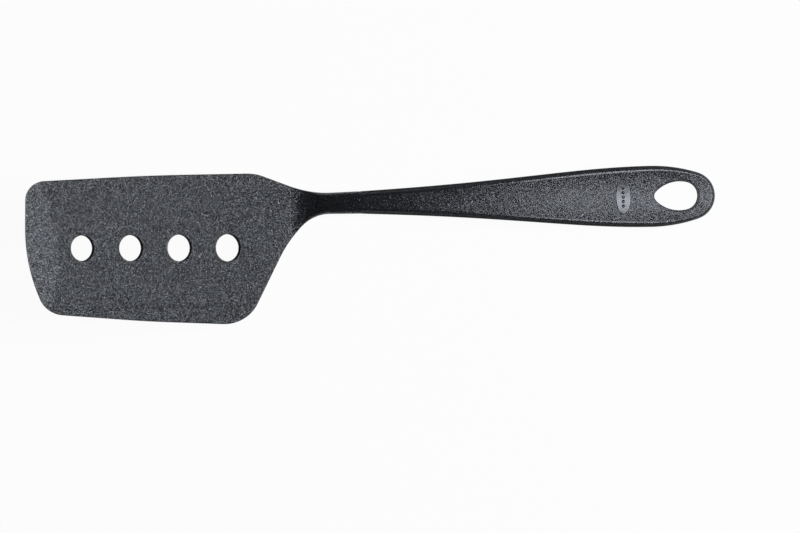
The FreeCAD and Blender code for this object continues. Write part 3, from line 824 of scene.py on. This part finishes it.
half_egg = np.concatenate([swept((END_CENTRE_X, 0), END_R, 0, to_end)[:-1],
                           swept(side_centre, LONG_R, to_end, to_nose)[:-1],
                           swept((NOSE_X, 0), NOSE_R, to_nose, math.pi)])
egg_line = np.concatenate([half_egg, half_egg[-2:0:-1] * (1, -1)])
egg_normal = outward(egg_line, closed=True)
egg_swing = np.unwrap(np.arctan2(*(egg_line - EGG_MIDDLE).T[::-1]))
print("hanging hole %.1f x %.1f mm" % tuple(np.ptp(egg_line, axis=0)))


def egg(angle, grow):
    """The egg at each angle round its middle, moved out along its normal."""
    turn = np.append(egg_swing, egg_swing[0] + 2 * math.pi)
    at = [np.interp(angle, turn, np.append(a, a[0])) for a in (*egg_line.T, *egg_normal.T)]
    return np.stack([at[0] + grow * at[2], at[1] + grow * at[3]], -1)


LEAN = math.tan(math.radians(11.0))
DRAFT = 0.13
DISH_RADIUS = 46.0
RIM = 2.4
lean_from = float(height(FACE, END_CENTRE_X))
crease = inset(lambda x: RIM * rim_scale(x))
crease_half = crease[len(crease) // 2:][::-1]


def dish(x, y):
    """Depth of the face below its edges: (half width squared - y squared) / (2 radius)."""
    half = np.interp(x, crease_half[:, 0], crease_half[:, 1])
    return np.maximum(half ** 2 - y ** 2, 0) / (2 * DISH_RADIUS)


def face_top(x, y):
    return height(FACE, x) - dish(x, y)


def egg_at(angle, grow, surface):
    """The egg's edge on a surface z(x, y), leaned and drafted for its depth; returns points in space."""
    flat = egg(angle, 0.0)
    z = surface(flat[..., 0], flat[..., 1])
    deep = face_top(flat[..., 0], flat[..., 1]) - z
    plan = egg(angle, np.asarray(grow) - DRAFT * deep)
    plan = plan + np.stack([(z - lean_from) * LEAN, 0 * z], -1)
    return draped(plan, surface)


def egg_curve(grow, surface):
    """The same edge in plan, scaled ring times about its middle, for bending a grid."""
    def curve(angle, ring):
        edge = egg_at(angle, grow, surface)[..., :2]
        middle = EGG_MIDDLE + (float(surface(*EGG_MIDDLE)) - lean_from) * np.array([LEAN, 0])
        return middle + ring[..., None] * (edge - middle)
    return curve


# %% Blocks of the grid for the egg and the oval
BADGE = np.array([139.15, 0.0])
BADGE_HALF = np.array([3.15, 7.35])
sample = handle_grid(lambda x: RIM * rim_scale(x))
egg_block = (nearest(sample, *EGG_MIDDLE), (21, 12))
oval_block = (nearest(sample, *BADGE), (7, 13))
print("egg block at", egg_block, "oval block at", oval_block, "grid", sample.shape[:2])


def with_egg(grid, grow, surface):
    """The grid bent round the hanging hole; the pull reaches 14 rows back and every edge."""
    centre, half = egg_block
    reach = (14, grid.shape[0] - 1 - centre[0] - half[0], centre[1] - half[1],
             grid.shape[1] - 1 - centre[1] - half[1])
    return bend_block(grid, centre, half, egg_curve(grow, surface), reach)


def hole_angles(centre, half):
    """Angles of the vertices that hole_edge numbers, in the same order."""
    i, j = hole_edge(centre, half)
    return around((i - centre[0]) / half[0], (j - centre[1]) / half[1])


# %% [markdown]
# ## The tray of the handle
#
# The back shell is a tray: a rounded underside, upright sides, a rim that
# slopes up to a narrow level land, and inside it a ledge for the face plate
# and a well for the tang. Its section is carried round the outline, which
# closes the tip without a pole.

# %% Section of the tray
SLOPE, LEDGE, FLOOR, PLATE = 1.6, 0.6, 1.8, 1.6
STEEP = math.tan(math.radians(41))
UNDER_ROUND, UNDER_LIP, WELL_WALL = 2.0, 0.4, 2.2
POLISH = 0.6


def underside(x, y):
    """The back line, level for the last bit, where the round of the tip takes over."""
    return height(BACK, np.minimum(x, TIP_X - UNDER_ROUND))


def tray_section():
    """Rows of (distance from the outline, line, height above the line, shine).

    A distance (a, b) is a + b * rim scale. The lines are the face line, the
    foot of the rim's slope and the back line. Heights over the foot are given
    as distances along the table, to be multiplied by the slope's steepness.
    """
    rows = [((LEDGE, RIM), "face", -PLATE - 0.2, 0), ((0, RIM), "face", -PLATE - 0.05, 0),
            ((0, RIM), "face", -0.02, 0), ((-0.02, RIM), "face", 0.0, POLISH)]
    rows += [((0.16, SLOPE), "face", 0.0, POLISH), ((0.05, SLOPE), "face", -0.03, POLISH)]
    rows += [((-0.10, SLOPE), "face", -0.13, 0.5), ((-0.3, SLOPE), "face", -0.3, 0.5)]
    rows += [((0.34, 0.12), "slope", 0.30, 0.5), ((0.14, 0.06), "slope", 0.12, 0.5),
             ((0.03, 0), "slope", -0.16, 0.3), ((0, 0), "slope", -0.5, 0)]
    rows += [((0, 0), "back", UNDER_ROUND + 0.4, 0), ((0, 0), "back", UNDER_ROUND, 0)]
    rows += [((0.54 * UNDER_ROUND * (1 - math.cos(t)), 0.46 * UNDER_ROUND * (1 - math.cos(t))),
              "back", UNDER_ROUND * (1 - math.sin(t)), 0) for t in np.linspace(0, math.pi / 2, 7)[1:]]
    return rows


def tray_inset(x):
    return LEDGE + RIM * rim_scale(x)


def section_row(edge, normal, row):
    """One row of the section carried round the edge of the well, as points in space."""
    (fixed, scaled), kind, lift, _ = row
    outline_x = edge[:, 0] + normal[:, 0] * tray_inset(edge[:, 0])
    scale = rim_scale(outline_x)
    away = tray_inset(outline_x) - (fixed + scaled * scale)
    plan = edge + normal * away[:, None]
    plan[[0, -1], 0] = HANDLE_START
    x = plan[:, 0]
    if kind == "face":
        z = height(FACE, x) + lift
    elif kind == "slope":
        z = height(FACE, x) - STEEP * SLOPE * scale + lift * STEEP
    else:
        z = underside(x, 0) + lift
    return lifted(plan, z)


# %% The tray's skin
def well_floor(x, y):
    return height(BACK, x) + FLOOR


def plate_bottom(x, y):
    return face_top(x, y) - PLATE


tray = Skin()
grid = handle_grid(tray_inset)
floor_plan = with_egg(grid, WELL_WALL, well_floor)
under_plan = with_egg(grid, UNDER_LIP, underside)
floor_sheet, under_sheet = tray.sheets(draped(floor_plan, well_floor), draped(under_plan, underside),
                                       [egg_block], [egg_block])
path = 2 * (grid.shape[0] - 1) + grid.shape[1]
at = tuple(k[:path] for k in edge_of(grid))
edge, normal = grid[at], outward(grid[at])
rows = [floor_sheet[at]]
rows += [tray.vertices(section_row(edge, normal, row), shine=row[3]) for row in tray_section()]
rows.append(under_sheet[at])
tray.band(rows, closed=False)
tray.sheet(np.stack([under_sheet[0], floor_sheet[0]]))
tray.caps += [[int(r[0]) for r in rows][::-1], [int(r[-1]) for r in rows]]

# %% The wall round the hanging hole
def egg_wall(skin, first, last, steps):
    """The hole's wall through steps (grow, surface) from the sheet above to the sheet below."""
    angles = hole_angles(*egg_block)
    skin.wall(first, last, hole_edge(*egg_block), [egg_at(angles, *step) for step in steps], -1)


def above(surface, lift):
    """A surface raised by a constant."""
    return lambda x, y: surface(x, y) + lift


# The wall starts as a seat under the plate and opens softly at the underside.
seat_top = above(plate_bottom, -0.05)
steps = [(WELL_WALL, seat_top), (0.1, seat_top), (0.0, above(plate_bottom, -0.15))]
steps += [(0.0, above(underside, z)) for z in (3 * UNDER_LIP, UNDER_LIP)]
steps += [(UNDER_LIP * (1 - math.cos(t)), above(underside, UNDER_LIP * (1 - math.sin(t))))
          for t in (0.4, 0.8, 1.2)]
egg_wall(tray, floor_sheet, under_sheet, steps)
handle_back = tray.build("handle_back", SKIN_OF_HANDLE, MATT_PAINTED_SHADE)
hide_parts("handle_back_shell")

# %% [markdown]
# ## The face plate
#
# A thin dished plate lies in the tray, level with the rim's land. It has the
# hanging hole and a shallow oval pocket for the badge.

# %% The face plate's skin
EDGE, POCKET, GAP = 0.16, 0.75, 0.06


def oval(angle, grow):
    """An ellipse round the badge's place, grown along its axes."""
    return BADGE + (BADGE_HALF + grow) * np.stack([np.cos(angle), np.sin(angle)], -1)


def oval_curve(grow):
    return lambda angle, ring: BADGE + ring[..., None] * (oval(angle, grow) - BADGE)


def disc(centre, half, cells):
    """A grid over an ellipse: square rings become ellipses."""
    a, b = (np.arange(-c, c + 1) / c for c in cells)
    a, b = np.meshgrid(a, b, indexing="ij")
    ring = np.maximum(np.abs(a), np.abs(b))
    angle = around(a, b)
    return centre + ring[..., None] * half * np.stack([np.cos(angle), np.sin(angle)], -1)


def pocket_floor(x, y):
    return face_top(x, y) - POCKET


plate = Skin()
grid = handle_grid(lambda x: RIM * rim_scale(x) + GAP)
top_plan = with_egg(grid, EDGE, face_top)
top_plan = bend_block(top_plan, *oval_block, oval_curve(0.1), (9, 9, 8, 8))
bottom_plan = with_egg(grid, 0.0, plate_bottom)
polish = np.zeros(grid.shape[:2])
polish[:, [0, -1]] = POLISH
polish[-1] = POLISH
top_sheet, bottom_sheet = plate.sheets(draped(top_plan, face_top), draped(bottom_plan, plate_bottom),
                                       [egg_block, oval_block], [egg_block], polish)
at = edge_of(grid)
edge, normal = grid[at], outward(grid[at], closed=True)
normal[at[0] == 0] = 0
steps = [lifted(edge + normal * out, face_top(*edge.T) - down)
         for out, down in ((0.025, 0.005), (0.04, 0.03), (0.04, 1.5))]
plate.wall(top_sheet, bottom_sheet, at, steps, POLISH)
steps = [(EDGE * (1 - math.sin(t)), above(face_top, EDGE * (math.cos(t) - 1)))
         for t in (0.4, 0.8, 1.2, 1.57)]
egg_wall(plate, top_sheet, bottom_sheet, steps)

# %% The oval pocket
angles = hole_angles(*oval_block)
rows = [top_sheet[hole_edge(*oval_block)]]
for grow, down in ((0.045, 0.015), (0.01, 0.05), (0.0, 0.1)):
    place = oval(angles, grow)
    rows.append(plate.vertices(lifted(place, face_top(*place.T) - down)))
pocket = disc(BADGE, BADGE_HALF, oval_block[1])
pocket_sheet = plate.vertices(draped(pocket, pocket_floor))
plate.sheet(pocket_sheet)
rows.append(pocket_sheet[edge_of(pocket)][::-1])
plate.band(rows)
handle_face = plate.build("handle_face", SKIN_OF_HANDLE, MATT_PAINTED_SHADE)
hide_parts("handle_front_shell")

# %% [markdown]
# ## The badge
#
# A smooth oval inlay. It lies a little deeper on the side toward the blade
# and comes level with the face on the other, so that side runs out softly.
# Its middle carries a plain row of pips, which say nothing.

# %% The badge's skin
PIPS, PIP_PITCH, PIP_RADIUS, PIP_RISE = 5, 2.0, 0.55, 0.2
LEVEL, SUNK, FLATTER = 0.03, 0.36, 0.72


def badge_top(x, y):
    """Sunk on the blade's side, level on the other, with round pips down the middle.

    It follows the dish for the most part and is flatter by the rest.
    """
    across = np.clip((x - BADGE[0]) / BADGE_HALF[0], -1, 1)
    sink = LEVEL + SUNK * ((1 - across) / 2) ** 1.3
    nearest_pip = np.clip(np.round(y / PIP_PITCH), -(PIPS // 2), PIPS // 2) * PIP_PITCH
    far = np.hypot(x - BADGE[0], y - nearest_pip) / PIP_RADIUS
    return (FLATTER * face_top(x, y) + (1 - FLATTER) * face_top(x, 0 * y)
            - sink + PIP_RISE * ease(1.35 - far))


inlay = Skin()
spread = disc(BADGE, BADGE_HALF - 0.1, (26, 56))
upper, lower = inlay.sheets(draped(spread, badge_top), draped(spread, above(pocket_floor, 0.05)))
at = edge_of(spread)
edge, normal = spread[at], outward(spread[at], closed=True)
inlay.wall(upper, lower, at, [lifted(edge + normal * out, badge_top(*edge.T) - down)
                              for out, down in ((0.05, 0.02), (0.07, 0.07))])
PALER, PALER_GLASS = (0.012, 0.013, 0.0145), (0.016, 0.017, 0.019)
SATIN = moulded_nylon("satin_nylon", PALER, PALER_GLASS, 0.4, 0.14, 0.235)
badge = inlay.build("badge", SATIN)
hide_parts("badge_plate")

# %% [markdown]
# ## The pins
#
# Three pins hold the halves together inside the handle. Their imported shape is
# right, so they only get the nylon.

# %% Pins
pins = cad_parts["locating_pins"]
pins.data.materials.clear()
pins.data.materials.append(SKIN_OF_HANDLE)
print("pins dressed")

# %% [markdown]
# ## A plain studio
#
# A pale table that curves up far away, one large soft lamp high on the right
# and dim air. The lamp's reflection is what draws the shape of a black
# object: faces that lean toward it are grey, the others stay dark.

# %% Table and wall
def turned(name, profile, material):
    """A surface of revolution: each (radius, height) of the profile goes round the z axis.

    The profile starts on the axis, where triangles fill the middle.
    """
    swing = np.linspace(0, 2 * math.pi, 129)[:-1]
    profile = np.array(profile, float)
    rings = profile[:, None, :1] * np.stack([np.cos(swing), np.sin(swing)], -1)
    points = lifted(rings, profile[:, 1:])
    n = np.arange(points[..., 0].size).reshape(points.shape[:2])
    n = np.concatenate([n, n[:, :1]], 1)
    quads = np.stack([n[1:-1, :-1], n[2:, :-1], n[2:, 1:], n[1:-1, 1:]], -1).reshape(-1, 4)
    centre = np.stack([n[0, :-1], n[1, :-1], n[1, 1:]], -1)
    centre[:, 0] = n[0, 0]
    mesh = bpy.data.meshes.new(name)
    faces = centre.tolist() + quads.tolist()
    mesh.from_pydata(points.reshape(-1, 3).tolist(), [], faces)
    mesh.polygons.foreach_set("use_smooth", np.ones(len(faces), bool))
    mesh.materials.append(material)
    placed(name, mesh)


# Light falls on the table as on paint. The camera, and a gloss that faces the
# table, also see it glow near the spatula, which keeps it evenly pale there.
GLOW, GLOW_NEAR, GLOW_FAR = 0.95, 0.35, 1.4
pale = bpy.data.materials.new("pale_table")
pale.use_nodes = True
tree = pale.node_tree
tree.nodes.remove(tree.nodes["Principled BSDF"])
paint = join(tree, "ShaderNodeBsdfDiffuse", {"Color": (0.92, 0.92, 0.92, 1)})
glow = join(tree, "ShaderNodeEmission", {"Color": (1, 1, 1, 1), "Strength": 1.0})
ray = join(tree, "ShaderNodeLightPath")
seen = maths(tree, "MAXIMUM", ray.outputs["Is Camera Ray"], ray.outputs["Is Glossy Ray"])
seen = maths(tree, "MAXIMUM", seen, ray.outputs["Is Transmission Ray"])
place = join(tree, "ShaderNodeTexCoord").outputs["Object"]
far = join(tree, "ShaderNodeVectorMath", {0: place}, operation="LENGTH")
near = join(tree, "ShaderNodeMapRange", {"Value": far.outputs["Value"], "From Min": GLOW_NEAR,
                                         "From Max": GLOW_FAR, "To Min": GLOW, "To Max": 0.0})
share = maths(tree, "MULTIPLY", seen, near.outputs["Result"])
mix = join(tree, "ShaderNodeMixShader", {0: share, 1: paint.outputs[0], 2: glow.outputs[0]})
tree.links.new(mix.outputs[0], tree.nodes["Material Output"].inputs["Surface"])
FLAT_TO, COVE_R, WALL_TOP = 3.2, 0.9, 3.4
cove = [(r, 0.0) for r in (0.0, 0.1, 0.3, 0.6, 1.0, 1.6, 2.4, FLAT_TO)]
cove += [(FLAT_TO + COVE_R * math.sin(t), COVE_R * (1 - math.cos(t)))
         for t in np.linspace(0, math.pi / 2, 17)[1:]]
cove.append((FLAT_TO + COVE_R, WALL_TOP))
turned("table", cove, pale)

# %% Lamps
world = bpy.data.worlds.new("dim_air")
bpy.context.scene.world = world
world.use_nodes = True
air = world.node_tree.nodes["Background"]
air.inputs["Color"].default_value = (0.07, 0.07, 0.073, 1)
air.inputs["Strength"].default_value = 1.0

VIEW_LEAN = math.radians(4.0)
VIEW_ROLL = math.radians(1.2)
right = np.array([math.cos(VIEW_LEAN), 0, -math.sin(VIEW_LEAN)])
upward = np.array([0.0, 1.0, 0.0])
toward = np.array([math.sin(VIEW_LEAN), 0, math.cos(VIEW_LEAN)])


def pose(x, y, z, spot):
    """A place whose axes are x, y and z."""
    return Matrix([[x[k], y[k], z[k], spot[k]] for k in range(3)] + [[0, 0, 0, 1]])


def soft_lamp(name, side_angle, up_angle, distance, size, power, colour):
    """A rectangular lamp that looks at the middle of the spatula from an angle off the view."""
    a, b = math.radians(side_angle), math.radians(up_angle)
    way = toward * math.cos(a) * math.cos(b) + right * math.sin(a) * math.cos(b) + upward * math.sin(b)
    lamp = bpy.data.lights.new(name, "AREA")
    lamp.shape, lamp.size, lamp.size_y = "RECTANGLE", *size
    lamp.energy, lamp.color = power, colour
    made = placed(name, lamp)
    z = way / np.linalg.norm(way)
    x = np.cross(upward, z)
    x /= np.linalg.norm(x)
    made.matrix_world = pose(x, np.cross(z, x), z, z * distance)
    made.visible_camera = False


soft_lamp("key", 25, 4, 1.3, (1.17, 0.34), 12.6, (0.93, 0.95, 1.0))
print("lamps set")

# %% [markdown]
# ## The camera
#
# It looks almost straight down on the lying spatula, leaning four degrees
# toward the handle's end, with parallel rays like a lens from far away.

# %% Camera
AIM = np.array([40.1, -28.2])
FRAME_WIDTH = 347.8
camera = bpy.data.cameras.new("camera")
camera.type = "ORTHO"
camera.ortho_scale = FRAME_WIDTH * MM
camera.clip_end = 20.0
eye = placed("camera", camera)
rolled_right = right * math.cos(VIEW_ROLL) - upward * math.sin(VIEW_ROLL)
rolled_up = right * math.sin(VIEW_ROLL) + upward * math.cos(VIEW_ROLL)
spot = (SHIFT + right * AIM[0] + upward * AIM[1]) * MM + toward
eye.matrix_world = pose(rolled_right, rolled_up, toward, spot)
bpy.context.scene.camera = eye
bpy.context.scene.view_settings.view_transform = "Standard"
